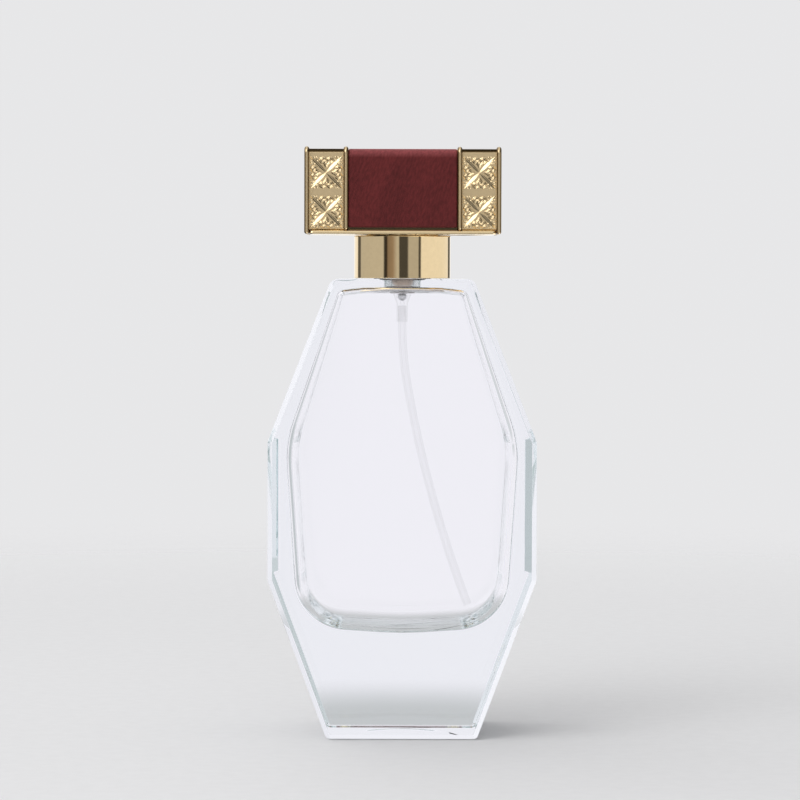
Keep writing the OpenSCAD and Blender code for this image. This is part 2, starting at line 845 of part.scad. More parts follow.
// Ornament square on the XY plane, its back sunk into the panel: four leaves in a cross, four palmettes
module ornament_square() {
    u = tile / 100;
    sink = relief_t / 2;
    translate([0, 0, -sink])
        for (quarter = [0:3])
            rotate(90 * quarter) {
                linear_extrude(sink + relief_t)
                    rotate(45)
                        leaf([2, 0] * u, [68, 0] * u, 14 * u);
                linear_extrude(sink + 0.8 * relief_t)
                    palmette();
            }
}

// All ornament squares of the right end block
module ornament() {
    for (side = [0, 1], row = [-1, 1])
        mirror([0, side, 0])
            translate([panel_x, -panel_half_d, tile_z + row * (tile + tile_gap) / 2])
                rotate([90, 0, 0])
                    ornament_square();
    for (row = [-1, 0, 1])
        translate([panel_x, row * (tile + top_tile_gap), panel_top_z])
            ornament_square();
}

// Cast end block: a panel body between two raised rims, with ornament and with pegs into the core
module end_block(side) {
    panel_r = max(rim_r - rim_proud, rim_r / 4);
    mirror([side < 0 ? 1 : 0, 0, 0]) {
        bar(core_half_w, rim_t, rim_half_d, plate_top_z, rim_top_z, rim_r);
        bar(core_half_w + rim_t, end_w - 2 * rim_t, panel_half_d, plate_top_z, panel_top_z, panel_r);
        bar(cap_half_w - rim_t, rim_t, rim_half_d, cap_z, rim_top_z, rim_r);
        ornament();
        pegs(1, peg_d, peg_len);
    }
}

module left_end_block() {
    color([0.8, 0.69, 0.45])
        end_block(-1);
}

module right_end_block() {
    color([0.8, 0.69, 0.45])
        end_block(1);
}

glass_bottle();
neck_gasket();
pump_housing();
dip_tube();
inlet_ball();
return_spring();
piston();
valve_stem();
stem_seal();
housing_closure();
crimp_ferrule();
collar_insert();
collar();
actuator_core();
actuator_shell();
nozzle_insert();
cap_liner();
cap_core();
cap_base_plate();
leather_wrap();
left_end_block();
right_end_block();
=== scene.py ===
import math

import bmesh
import bpy
import numpy as np
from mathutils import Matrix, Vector


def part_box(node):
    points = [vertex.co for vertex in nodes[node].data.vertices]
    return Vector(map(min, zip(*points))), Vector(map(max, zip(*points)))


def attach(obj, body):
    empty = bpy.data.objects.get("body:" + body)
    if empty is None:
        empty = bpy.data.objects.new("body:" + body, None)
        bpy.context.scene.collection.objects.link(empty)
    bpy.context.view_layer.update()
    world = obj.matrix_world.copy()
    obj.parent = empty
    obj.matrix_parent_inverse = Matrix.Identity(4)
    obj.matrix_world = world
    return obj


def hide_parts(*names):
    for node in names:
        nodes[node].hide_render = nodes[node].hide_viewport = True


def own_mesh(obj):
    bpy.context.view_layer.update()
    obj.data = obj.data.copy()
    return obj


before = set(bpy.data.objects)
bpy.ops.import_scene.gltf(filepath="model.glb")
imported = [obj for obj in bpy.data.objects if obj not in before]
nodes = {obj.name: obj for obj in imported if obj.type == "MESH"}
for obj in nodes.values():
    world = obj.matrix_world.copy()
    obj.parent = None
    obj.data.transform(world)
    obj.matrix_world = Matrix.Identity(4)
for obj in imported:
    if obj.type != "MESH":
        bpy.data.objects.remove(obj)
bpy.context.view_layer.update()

# Glass body: one pressed and blown piece of clear flint glass, an elongated octagon from the front, with flat
# bevels, a thick foot that is slightly hollow below, and a cavity with big heel curves. The neck carries the
# crimped pump. The polish is even, with a faint wave left by the mould, and the neck's bore is a little dull.
MM = 0.001


def box_mm(name):
    """Lowest and highest corner of a CAD piece, in millimetres."""
    low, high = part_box(name)
    return [c / MM for c in low], [c / MM for c in high]


def soft_path(corners, fineness=8):
    """Closed outline, counter-clockwise, of corners (a, b, radius), as points (a, b, normal a, normal b)."""
    path = []
    for i, (bx, by, radius) in enumerate(corners):
        ax, ay, _ = corners[i - 1]
        cx, cy, _ = corners[(i + 1) % len(corners)]
        before = math.atan2(by - ay, bx - ax)
        turn = math.atan2(cy - by, cx - bx) - before
        turn = (turn + math.pi) % (2 * math.pi) - math.pi
        side = 1 if turn > 0 else -1
        reach = radius * math.tan(abs(turn) / 2)
        facing = before - math.pi / 2
        mid_x = bx - math.cos(before) * reach - math.cos(facing) * radius * side
        mid_y = by - math.sin(before) * reach - math.sin(facing) * radius * side
        steps = max(2, math.ceil(abs(turn) / (math.pi / 2) * fineness))
        for k in range(steps + 1):
            angle = facing + turn * k / steps
            nx, ny = math.cos(angle), math.sin(angle)
            path.append((mid_x + side * radius * nx, mid_y + side * radius * ny, nx, ny))
    return path


def left_half(right_half):
    """The corners of an outline's left half, in turn, from those of the right half that it mirrors."""
    return [(-a, b, radius) for a, b, radius in right_half[::-1]]


def arc_path(centre_r, centre_z, radius, start, end, hollow=False, steps=6):
    """Quarter round of a turned profile, in degrees, as points (radius, z, normal r, normal z)."""
    path = []
    for k in range(steps + 1):
        angle = math.radians(start + (end - start) * k / steps)
        out, up = math.cos(angle), math.sin(angle)
        sign = -1 if hollow else 1
        path.append((centre_r + radius * out, centre_z + radius * up, sign * out, sign * up))
    return path


def upright(a, depth, b):
    """An outline that stands facing the front: a runs across, b up."""
    return a, depth, b


class Shell:
    """A closed surface in the making: points in millimetres with their normals, and faces."""

    def __init__(self):
        self.points = []
        self.normals = []
        self.faces = []

    def ring(self, items):
        start = len(self.points)
        for point, normal in items:
            self.points.append(point)
            self.normals.append(normal)
        return list(range(start, len(self.points)))

    def band(self, a, b, skip=()):
        count = len(a)
        for i in range(count):
            if i not in skip:
                j = (i + 1) % count
                self.faces.append((a[i], a[j], b[j], b[i]))

    def fan(self, ring, tip):
        for i in range(len(ring)):
            self.faces.append((ring[i], ring[(i + 1) % len(ring)], tip))

    def web(self, outer, inner):
        """Fills the level flat between an outer and an inner loop round the same middle."""
        middle = np.mean([self.points[i] for i in inner], axis=0)

        def unwound(loop):
            turns = [math.atan2(self.points[i][1] - middle[1], self.points[i][0] - middle[0]) for i in loop]
            steps = [turn - turns[k - 1] for k, turn in enumerate(turns)]
            if sum((step + math.pi) % (2 * math.pi) - math.pi for step in steps) < 0:
                loop, turns = loop[::-1], turns[::-1]
            first = int(np.argmin(turns))
            loop, turns = loop[first:] + loop[:first], turns[first:] + turns[:first]
            return loop + loop[:1], turns + [turns[0] + 2 * math.pi]

        (outer, at_outer), (inner, at_inner) = unwound(list(outer)), unwound(list(inner))
        i = j = 0
        while i < len(outer) - 1 or j < len(inner) - 1:
            if j == len(inner) - 1 or (i < len(outer) - 1 and at_outer[i + 1] <= at_inner[j + 1]):
                self.faces.append((outer[i], outer[i + 1], inner[j]))
                i += 1
            else:
                self.faces.append((outer[i], inner[j + 1], inner[j]))
                j += 1

    def slab(self, path, low, high, edges, to_space,
             fineness=6, facing=1, capped=True, far_edges=None, flat=False):
        """Prism over an outline from low to high. Its end edges are rounded or bevelled by a size per point.

        Gives the two rings of its side wall, which stays open, and the two rings of its ends.
        """
        half = math.sqrt(0.5)
        profile = [(1, 0, 1, 0), (0.95, 0.05, half, half), (0.05, 0.95, half, half), (0, 1, 0, 1)]
        if not flat:
            quarter = [math.pi / 2 * k / fineness for k in range(fineness + 1)]
            profile = [(math.cos(t), math.sin(t), math.cos(t), math.sin(t)) for t in quarter]
        if far_edges is None:
            far_edges = edges
        rings = []
        for end, sign, sizes in ((low, -1, edges), (high, 1, far_edges)):
            for out, along, lean, rise in profile[::sign]:
                items = []
                for (a, b, na, nb), size in zip(path, sizes):
                    inset = (1 - out) * size
                    point = to_space(a - inset * na, end + sign * (along - 1) * size, b - inset * nb)
                    normal = to_space(facing * na * lean, facing * sign * rise, facing * nb * lean)
                    items.append((point, normal))
                rings.append(self.ring(items))
        wall = rings[len(profile) - 1], rings[len(profile)]
        for a, b in zip(rings, rings[1:]):
            if a is not wall[0]:
                self.band(a, b)
        if capped:
            self.faces.append(tuple(rings[0]))
            self.faces.append(tuple(rings[-1]))
        return wall, (rings[0], rings[-1])

    def lathe(self, path, closed=False, around=72):
        """Turns a path of (radius, z, normal r, normal z) round the Z axis. A point on the axis is a tip."""
        turns = [2 * math.pi * k / around for k in range(around)]
        rings = []
        for r, z, nr, nz in path:
            if r < 1e-6:
                rings.append(self.ring([((0, 0, z), (0, 0, math.copysign(1, nz)))]))
            else:
                rings.append(self.ring([
                    ((r * math.cos(t), r * math.sin(t), z), (nr * math.cos(t), nr * math.sin(t), nz))
                    for t in turns
                ]))
        pairs = list(zip(rings, rings[1:])) + ([(rings[-1], rings[0])] if closed else [])
        for a, b in pairs:
            if len(a) == 1:
                self.fan(b, a[0])
            elif len(b) == 1:
                self.fan(a, b[0])
            else:
                self.band(a, b)
        return rings

    def piece(self, name, body, slot, finish, *stands_for):
        """Makes the mesh a piece of that body, with its finish, in place of the CAD nodes named."""
        mesh = bpy.data.meshes.new(name)
        mesh.from_pydata([[c * MM for c in p] for p in self.points], [], self.faces)
        work = bmesh.new()
        work.from_mesh(mesh)
        bmesh.ops.recalc_face_normals(work, faces=work.faces)
        work.to_mesh(mesh)
        work.free()
        mesh.shade_smooth()
        mesh.normals_split_custom_set_from_vertices([Vector(n).normalized() for n in self.normals])
        mesh.materials.append(finish)
        made = bpy.data.objects.new(name, mesh)
        bpy.context.scene.collection.objects.link(made)
        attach(made, body)
        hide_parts(*stands_for)
        return made


def node(tree, kind, inputs=None, **settings):
    """One node of a tree. Inputs are values or the sockets that feed them."""
    made = tree.nodes.new(kind)
    for key, value in settings.items():
        setattr(made, key, value)
    for key, value in (inputs or {}).items():
        if isinstance(value, bpy.types.NodeSocket):
            tree.links.new(value, made.inputs[key])
        else:
            made.inputs[key].default_value = value
    return made


def graded(tree, value, low, high, start=0.0, end=1.0, soft=False):
    """A value that runs from start to end while the given one runs from low to high."""
    return node(tree, "ShaderNodeMapRange", {
        "Value": value, "From Min": low, "From Max": high, "To Min": start, "To Max": end,
    }, interpolation_type="SMOOTHSTEP" if soft else "LINEAR").outputs["Result"]


def worked(tree, operation, *terms):
    """The result of one step of arithmetic."""
    return node(tree, "ShaderNodeMath", dict(enumerate(terms)), operation=operation).outputs["Value"]


def finish_of(name):
    """New material with its tree, its principled shader, and the object coordinates."""
    made = bpy.data.materials.new(name)
    made.use_nodes = True
    tree = made.node_tree
    return made, tree, tree.nodes["Principled BSDF"], node(tree, "ShaderNodeTexCoord").outputs["Object"]


def feed(tree, shader, **sockets):
    """Links each named socket of the shader."""
    for name, source in sockets.items():
        tree.links.new(source, shader.inputs[name.replace("_", " ")])


(_, _, _), (body_half_w, body_half_d, neck_top) = box_mm("glass_bottle")
foot_half_w, waist_low, waist_high, shoulder_half_w, shoulder = 18.5, 39.0, 73.0, 17.4, 113.0
foot_soft, waist_soft, shoulder_soft = 1.3, 2.2, 2.6
front_bevel, back_bevel, slanted_bevel, level_bevel = 1.2, 2.0, 0.7, 0.35
ceiling, bore = 110.9, 4.6

clear_glass, tree, shader, where = finish_of("clear_glass")
shader.inputs["Base Color"].default_value = (0.985, 0.99, 0.992, 1)
shader.inputs["Transmission Weight"].default_value = 1
shader.inputs["IOR"].default_value = 1.5
waves = node(tree, "ShaderNodeTexNoise", {"Vector": where, "Scale": 55, "Detail": 1.5, "Roughness": 0.4})
wave_bump = node(tree, "ShaderNodeBump", {
    "Height": waves.outputs["Fac"], "Strength": 0.06, "Distance": 0.0006})
place = node(tree, "ShaderNodeSeparateXYZ", {0: where})
crown = graded(tree, place.outputs["Z"], (ceiling - 3.4) * MM, (ceiling + 1.1) * MM, 0, 0.35)
beside_neck = graded(tree, worked(tree, "ABSOLUTE", place.outputs["X"]), 0.0105, 0.0135)
folds = node(tree, "ShaderNodeTexNoise", {"Vector": where, "Scale": 170, "Detail": 1, "Roughness": 0.4})
fold_bump = node(tree, "ShaderNodeBump", {
    "Height": folds.outputs["Fac"], "Strength": worked(tree, "MULTIPLY", crown, beside_neck),
    "Distance": 0.0006, "Normal": wave_bump.outputs["Normal"]})
level_part = node(tree, "ShaderNodeVectorMath", {0: where, 1: (1, 1, 0)}, operation="MULTIPLY")
from_axis = node(tree, "ShaderNodeVectorMath", {0: level_part.outputs["Vector"]}, operation="LENGTH")
near_axis = graded(tree, from_axis.outputs["Value"], (bore + 0.3) * MM, (bore + 0.6) * MM, 0.3, 0)
in_bore = graded(tree, place.outputs["Z"], (ceiling + 0.05) * MM, (ceiling + 0.3) * MM)
polish = graded(tree, waves.outputs["Fac"], 0, 1, 0, 0.006)
feed(tree, shader, Roughness=worked(tree, "MULTIPLY_ADD", near_axis, in_bore, polish),
     Normal=fold_bump.outputs["Normal"])
tint = node(tree, "ShaderNodeVolumeAbsorption", {"Color": (0.55, 0.72, 0.72, 1), "Density": 4.0})
tree.links.new(tint.outputs["Volume"], tree.nodes["Material Output"].inputs["Volume"])


def level_run(path, up):
    """Where the outline's level stretch that faces up (1) or down (-1) starts."""
    level = [point[3] * up > 0.9999 for point in path]
    return next(i for i in range(len(path)) if level[i] and level[(i + 1) % len(path)])


def flat_of(wall, i):
    """The four corners of the level flat between the two rings of a wall."""
    j = (i + 1) % len(wall[0])
    return [wall[0][i], wall[0][j], wall[1][j], wall[1][i]]


glass = Shell()
half_octagon = [
    (foot_half_w, 0.0, foot_soft), (body_half_w, waist_low, waist_soft),
    (body_half_w, waist_high, waist_soft), (shoulder_half_w, shoulder, shoulder_soft),
]
octagon = soft_path(half_octagon + left_half(half_octagon), fineness=16)
tilts = np.array([nb for _, _, _, nb in octagon])
front_edges = np.interp(tilts, (-0.5, 0.4, 0.95), (front_bevel, front_bevel, level_bevel))
back_edges = np.interp(
    np.abs(tilts), (0.02, 0.3, 0.5, 0.95), (back_bevel, slanted_bevel, slanted_bevel, level_bevel))
walls, _ = glass.slab(
    octagon, -body_half_d, body_half_d, front_edges, upright, far_edges=back_edges, flat=True)
shoulder_flat, foot_flat = level_run(octagon, 1), level_run(octagon, -1)
glass.band(*walls, skip=(shoulder_flat, foot_flat))

face_wall, waist_edge, ceiling_edge = 4.0, 4.0, 1.6
floor_mid, heel, widest = (0.0, 25.5, 80.0), (25.8, 27.2, 13.5), (28.94, 72.55, 28.0)
vault_end, vault_spring = (15.7, 110.2, ceiling_edge + 0.6), (9.5, ceiling, 12.0)
half_cavity = [heel, widest, vault_end, vault_spring]
cavity = soft_path([floor_mid, *half_cavity, *left_half(half_cavity)], fineness=18)
cavity_edges = np.interp([b for _, b, _, _ in cavity], (widest[1], ceiling), (waist_edge, ceiling_edge))
cavity_half_d = body_half_d - face_wall
cavity_walls, _ = glass.slab(
    cavity, -cavity_half_d, cavity_half_d, cavity_edges, upright, fineness=10, facing=-1)
ceiling_flat = level_run(cavity, 1)
glass.band(*cavity_walls, skip=(ceiling_flat,))

neck_root, root_soft, mouth_soft, bead_r, bead_z = 6.5, 0.8, 0.3, 7.5, 118.6
neck = arc_path(neck_root + root_soft, shoulder + root_soft, root_soft, -90, -180, hollow=True)
neck += [
    (neck_root, bead_z - 1.2, 1, 0), (neck_root + 0.05, bead_z - 1.1, 0.7, -0.7),
    (bead_r - 0.1, bead_z - 0.2, 0.7, -0.7), (bead_r, bead_z, 1, 0), (bead_r, neck_top - 0.5, 1, 0),
    (bead_r - 0.15, neck_top - 0.15, 0.7, 0.7), (bead_r - 0.5, neck_top, 0, 1),
    (bore + 0.4, neck_top, 0, 1), (bore + 0.1, neck_top - 0.1, -0.7, 0.7), (bore, neck_top - 0.4, -1, 0),
]
neck += arc_path(bore + mouth_soft, ceiling + mouth_soft, mouth_soft, 180, 270)
neck_rings = glass.lathe(neck)
glass.web(flat_of(walls, shoulder_flat), neck_rings[0])
glass.web(flat_of(cavity_walls, ceiling_flat), neck_rings[-1])

punt_r, punt_h, punt_steps = 12.0, 0.8, 12
punt = []
for k in range(punt_steps + 1):
    part = 1 - k / punt_steps
    slope = -4 * punt_h * (1 - part ** 2) * part / punt_r
    steep = math.hypot(slope, 1)
    punt.append((punt_r * part, punt_h * (1 - part ** 2) ** 2, slope / steep, -1 / steep))
punt_rings = glass.lathe(punt)
glass.web(flat_of(walls, foot_flat), punt_rings[0])
glass.piece("glass_body", "bottle", "clear_glass", clear_glass, "glass_bottle")

# Pump in the neck: small white mouldings, a rubber seal, a stainless ball and spring, and a drawn aluminium
# ferrule crimped under the glass bead. They sit in a moulded milky housing, dense and beige in the bore,
# whose thin tail grips the suction tube.


def ramp(tree, factor, stops):
    """Colour ramp with the given (place, colour) stops."""
    made = node(tree, "ShaderNodeValToRGB", {"Fac": factor})
    marks = made.color_ramp.elements
    marks.remove(marks[1])
    marks[0].position = stops[0][0]
    marks[0].color = (*stops[0][1], 1)
    for at, colour in stops[1:]:
        marks.new(at).color = (*colour, 1)
    return made.outputs["Color"]


def mixed(tree, factor, first, second, way="MIX"):
    """One colour laid over another, by a factor."""
    return node(tree, "ShaderNodeMix", {
        "Factor": factor, "A": first, "B": second}, data_type="RGBA", blend_type=way).outputs["Result"]


def thin_film(tree, least, most):
    """Cover of a thin clear wall, fuller where it is seen at a slant."""
    slant = node(tree, "ShaderNodeLayerWeight", {"Blend": 0.5})
    return graded(tree, slant.outputs["Facing"], 0.2, 0.95, least, most)


milky_housing, tree, shader, where = finish_of("milky_housing")
cloud = node(tree, "ShaderNodeTexNoise", {"Vector": where, "Scale": 420, "Detail": 2})
milk = ramp(tree, cloud.outputs["Fac"], [(0.3, (0.94, 0.93, 0.93)), (0.7, (0.98, 0.97, 0.97))])
height = node(tree, "ShaderNodeSeparateXYZ", {0: where}).outputs["Z"]
in_neck = graded(tree, height, (ceiling - 0.1) * MM, (ceiling + 0.7) * MM)
thick_wall = graded(tree, height, (ceiling - 1.5) * MM, (ceiling + 0.7) * MM)
feed(tree, shader, Base_Color=mixed(tree, in_neck, milk, (0.98, 0.77, 0.62, 1)),
     Alpha=worked(tree, "MAXIMUM", thin_film(tree, 0.02, 0.17), thick_wall))
shader.inputs["Roughness"].default_value = 0.2

tail_foot, tail_top, tail_r, tail_bore, tail_stop = 102.34, 106.84, 1.4, 1.05, 106.29
cone_top, cone_r, step_z, barrel_foot_r, barrel_r = 108.95, 2.2, 109.65, 3.1, 4.2
flange_r, flange_z, flange_top = 7.5, 123.0, 124.2
guide_bore, guide_z, barrel_bore, barrel_floor = 3.34, 121.2, 2.4, 110.45
throat_r, pocket_r, pocket_top, inlet_r = 1.0, 1.4, 110.05, 0.55
housing_outside = [
    (tail_r, tail_foot, 0.12), (tail_r, tail_top, 0.5), (cone_r, cone_top, 0.3), (cone_r, step_z, 0.1),
    (barrel_foot_r, step_z, 0.15), (barrel_foot_r, 111.2, 0.5), (barrel_r, 112.3, 0.5),
    (barrel_r, flange_z, 0.1), (flange_r, flange_z, 0.15), (flange_r, flange_top, 0.15),
]
housing_inside = [
    (guide_bore, flange_top, 0.1), (guide_bore, guide_z, 0.1), (barrel_bore, guide_z, 0.1),
    (barrel_bore, barrel_floor, 0.15), (throat_r, barrel_floor, 0.1), (throat_r, pocket_top, 0.1),
    (pocket_r, pocket_top, 0.1), (pocket_r, 108.39, 0.3), (inlet_r, 107.54, 0.1), (inlet_r, tail_stop, 0.1),
    (tail_bore, tail_stop, 0.1), (tail_bore, tail_foot, 0.08),
]
housing = Shell()
housing.lathe(soft_path(housing_outside + housing_inside, fineness=4), closed=True, around=48)
housing.piece("pump_body", "bottle", "clear_plastic", milky_housing, "pump_housing")


def moulded(name, colour, roughness, grain):
    """Moulded plastic or rubber with a fine, uneven skin."""
    made, tree, shader, where = finish_of(name)
    skin = node(tree, "ShaderNodeTexNoise", {"Vector": where, "Scale": grain, "Detail": 3}).outputs["Fac"]
    dark = tuple(c * 0.9 for c in colour)
    bump = node(tree, "ShaderNodeBump", {"Height": skin, "Strength": 0.1, "Distance": 0.00005})
    feed(tree, shader, Base_Color=ramp(tree, skin, [(0.35, dark), (0.65, colour)]),
         Normal=bump.outputs["Normal"])
    shader.inputs["Roughness"].default_value = roughness
    return made


def bright_metal(name, colour, roughness, ripple):
    """Smooth metal with the slow ripple and the slightly uneven polish that drawing or rolling leaves."""
    made, tree, shader, where = finish_of(name)
    slow = node(tree, "ShaderNodeTexNoise", {"Vector": where, "Scale": 90, "Detail": 1}).outputs["Fac"]
    fine = node(tree, "ShaderNodeTexNoise", {"Vector": where, "Scale": 900, "Detail": 3}).outputs["Fac"]
    bump = node(tree, "ShaderNodeBump", {"Height": slow, "Strength": ripple, "Distance": 0.0004})
    dull = tuple(c * 0.95 for c in colour)
    feed(tree, shader, Base_Color=ramp(tree, fine, [(0.3, dull), (0.7, colour)]),
         Roughness=graded(tree, fine, 0, 1, roughness * 0.7, roughness * 1.3), Normal=bump.outputs["Normal"])
    shader.inputs["Metallic"].default_value = 1
    return made


def dress(finishes):
    """Gives CAD pieces whose shape is right their finish."""
    for name, finish in finishes.items():
        nodes[name].data.materials.clear()
        nodes[name].data.materials.append(finish)


white_plastic = moulded("white_plastic", (0.82, 0.82, 0.81), 0.4, 900)
dark_rubber = moulded("dark_rubber", (0.035, 0.035, 0.037), 0.7, 1400)
bare_aluminium = bright_metal("bare_aluminium", (0.80, 0.80, 0.82), 0.25, 0.1)
spring_steel = bright_metal("spring_steel", (0.80, 0.80, 0.81), 0.4, 0.1)
dress({
    "neck_gasket": white_plastic, "housing_closure": white_plastic, "piston": white_plastic,
    "valve_stem": white_plastic, "stem_seal": dark_rubber, "inlet_ball": spring_steel,
    "crimp_ferrule": bare_aluminium,
})

coil_mesh = nodes["return_spring"].data.copy()
coil_mesh.name = "steel_coil"
work = bmesh.new()
work.from_mesh(coil_mesh)
bmesh.ops.remove_doubles(work, verts=work.verts, dist=0.001 * MM)
work.to_mesh(coil_mesh)
work.free()
coil_mesh.shade_smooth()
coil_mesh.materials.clear()
coil_mesh.materials.append(spring_steel)
coil = bpy.data.objects.new("steel_coil", coil_mesh)
bpy.context.scene.collection.objects.link(coil)
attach(coil, "bottle")
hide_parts("return_spring")
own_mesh(coil)

# Suction tube: soft clear tubing pushed into the tail of the pump, set in a slow bow towards the right heel
# of the cavity and cut square at both ends.
clear_tubing, tree, shader, where = finish_of("clear_tubing")
cloud = node(tree, "ShaderNodeTexNoise", {"Vector": where, "Scale": 300, "Detail": 2})
feed(tree, shader, Alpha=thin_film(tree, 0.03, 0.2),
     Base_Color=ramp(tree, cloud.outputs["Fac"], [(0.3, (0.90, 0.90, 0.92)), (0.7, (0.95, 0.95, 0.97))]))
shader.inputs["Roughness"].default_value = 0.22

tube_r, tube_bore, tube_top, tube_sides = 1.0, 0.6, 106.2, 32
tail_mouth = 102.336
first_drop, first_slant, first_steps = 16.0, math.radians(10), 12
mouth_z, mouth_slant, second_steps = 31.7, math.radians(20.9), 28
first_bend = first_drop / math.sin(first_slant)
knee_x, knee_z = first_bend * (1 - math.cos(first_slant)), tail_mouth - first_drop
second_bend = (knee_z - mouth_z) / (math.sin(mouth_slant) - math.sin(first_slant))
route = [(0.0, tube_top, 0.0), (0.0, 104.0, 0.0), (0.0, tail_mouth, 0.0)]
for k in range(1, first_steps + 1):
    slant = first_slant * k / first_steps
    route.append((first_bend * (1 - math.cos(slant)), tail_mouth - first_bend * math.sin(slant), slant))
for k in range(1, second_steps + 1):
    slant = first_slant + (mouth_slant - first_slant) * k / second_steps
    route.append((knee_x + second_bend * (math.cos(first_slant) - math.cos(slant)),
                  knee_z - second_bend * (math.sin(slant) - math.sin(first_slant)), slant))
tubing = Shell()


def hoop(x, z, slant, r, facing):
    """One ring of the tube's wall, square to its route."""
    items = []
    for k in range(tube_sides):
        turn = 2 * math.pi * k / tube_sides
        spoke = (math.cos(turn) * math.cos(slant), math.sin(turn), math.cos(turn) * math.sin(slant))
        items.append(((x + r * spoke[0], r * spoke[1], z + r * spoke[2]), tuple(facing * c for c in spoke)))
    return tubing.ring(items)


outside = [hoop(*stop, tube_r, 1) for stop in route]
inside = [hoop(*stop, tube_bore, -1) for stop in route]
for a, b in list(zip(outside, outside[1:])) + list(zip(inside, inside[1:])):
    tubing.band(a, b)
tubing.band(outside[0], inside[0])
tubing.band(outside[-1], inside[-1])
tubing.piece("suction_tube", "bottle", "clear_plastic", clear_tubing, "dip_tube")

# Collar: a drawn aluminium sleeve, polished and anodised pale gold, with a white moulded insert that snaps
# under the ferrule. Its wide part stands on the shoulder; the cap sits over the step with the rolled lip.
gold = (0.83, 0.655, 0.395)
gold_aluminium = bright_metal("gold_aluminium", gold, 0.06, 0.12)
(_, _, collar_z), (collar_r, _, lip_top) = box_mm("collar")
sheet, ledge_z, step_r, lip_r = 0.5, 123.7, 9.0, 6.6
sleeve_outside = [
    (collar_r, collar_z, 0.12), (collar_r, ledge_z, 0.3), (step_r, ledge_z, 0.1), (step_r, lip_top, 0.3),
]
sleeve_inside = [
    (lip_r, lip_top, 0.12), (lip_r, lip_top - sheet, 0.12), (step_r - sheet, lip_top - sheet, 0.1),
    (step_r - sheet, ledge_z - sheet, 0.1), (collar_r - sheet, ledge_z - sheet, 0.1),
    (collar_r - sheet, collar_z, 0.12),
]
sleeve = Shell()
sleeve.lathe(soft_path(sleeve_outside + sleeve_inside, fineness=6), closed=True, around=160)
sleeve.piece("gold_collar", "bottle", "gold_aluminium", gold_aluminium, "collar")
dress({"collar_insert": white_plastic})

# Spray button: a gold cup pressed over a white moulded core, with a white spray insert in the round window in
# front. It is out of sight under the cap until that is pulled off.
dress({"actuator_core": white_plastic, "nozzle_insert": white_plastic, "actuator_shell": gold_aluminium})

# Cap body: a black moulded core with a white liner that grips the collar, and below it a thin gold plate
# with a rounded edge, which shows as a ledge under leather and end blocks, with a step above it that is
# painted dark as the shadow under the leather.
black_plastic = moulded("black_plastic", (0.02, 0.02, 0.021), 0.45, 900)
dress({"cap_core": black_plastic, "cap_liner": white_plastic})


def cast_gold(name, colour, roughness, worn, shade_colour):
    """Plated casting: polished where it stands up, satin in the ground, with shade painted in dark brown
    where the point marks ask for it.
    """
    made, tree, shader, where = finish_of(name)
    height = node(tree, "ShaderNodeAttribute", attribute_name="relief").outputs["Fac"]
    shade_mask = node(tree, "ShaderNodeAttribute", attribute_name="painted_shade").outputs["Fac"]
    mottle = node(tree, "ShaderNodeTexNoise", {"Vector": where, "Scale": 700, "Detail": 3}).outputs["Fac"]
    low = tuple(c * worn for c in colour)
    ground = ramp(tree, mottle, [(0.3, low), (0.7, tuple(c * 1.04 for c in low))])
    raised = ramp(tree, mottle, [(0.3, tuple(c * 0.97 for c in colour)), (0.7, colour)])
    # Painted shade: marked points are mixed towards a dark brown that stands in for shade and dark
    # reflections in crevices, on edges and on flanks.
    shade = mixed(tree, shade_mask, mixed(tree, height, ground, raised), (*shade_colour, 1))
    grain = node(tree, "ShaderNodeBump", {"Height": mottle, "Strength": 0.08, "Distance": 0.00004})
    feed(tree, shader, Base_Color=shade, Roughness=graded(tree, height, 0, 1, *roughness),
         Normal=grain.outputs["Normal"])
    shader.inputs["Metallic"].default_value = 1
    return made


def oblong(left, right, foot, top, foot_round, top_round, fineness=8):
    """Outline of a rectangle with rounded corners."""
    return soft_path([
        (left, foot, foot_round), (right, foot, foot_round), (right, top, top_round), (left, top, top_round),
    ], fineness)


def lying(a, depth, b):
    """An outline that lies level: a runs across, b to the back."""
    return a, b, depth


def across(a, depth, b):
    """An outline seen from the side: a runs to the back, b up, and the piece runs across."""
    return depth, a, b


def mark(mesh, trait, values):
    """Writes one value per point, which the finish reads."""
    mesh.attributes.new(trait, "FLOAT", "POINT").data.foreach_set("value", values)


# The last colour is the dark brown of the painted shade.
gold_casting = cast_gold("gold_casting", gold, (0.45, 0.14), 0.85, (0.085, 0.045, 0.010))
(_, _, plate_z), (plate_half_w, plate_half_d, plate_top) = box_mm("cap_base_plate")
(_, _, leather_z), (leather_half_w, leather_half_d, leather_top) = box_mm("leather_wrap")
plate_corner, plate_low_edge, plate_lip, collar_hole_r = 0.9, 0.2, 0.75, 10.3
plate = Shell()
plate_rim = oblong(-plate_half_w, plate_half_w, -plate_half_d, plate_half_d, plate_corner, plate_corner)
plate_walls, plate_ends = plate.slab(
    plate_rim, plate_z, plate_top, [plate_low_edge] * len(plate_rim), lying, capped=False,
    far_edges=[plate_lip] * len(plate_rim))
plate.band(*plate_walls)
collar_hole = plate.lathe([(collar_hole_r, plate_z, -1, 0), (collar_hole_r, plate_top, -1, 0)])
plate.web(plate_ends[0], collar_hole[0])
plate.web(plate_ends[1], collar_hole[1])
unshaded_points = len(plate.points)
# Painted shadow: the step's points under the leather are marked 0.6 towards the dark brown.
step_face, step_root, step_sunk, step_shadow = 12.7, 11.86, 0.02, 0.6
for near, far in ((-step_face, -step_root), (step_root, step_face)):
    step = oblong(near, far, plate_top - step_sunk, leather_z - step_sunk, 0.05, 0.05, fineness=3)
    step_walls, _ = plate.slab(step, -leather_half_w, leather_half_w, [0.02] * len(step), across, fineness=2)
    plate.band(*step_walls)
ledge = plate.piece("cap_ledge", "cap", "gold_casting", gold_casting, "cap_base_plate")
mark(ledge.data, "relief", [1.0] * len(plate.points))
mark(ledge.data, "painted_shade", [step_shadow * (i >= unshaded_points) for i in range(len(plate.points))])

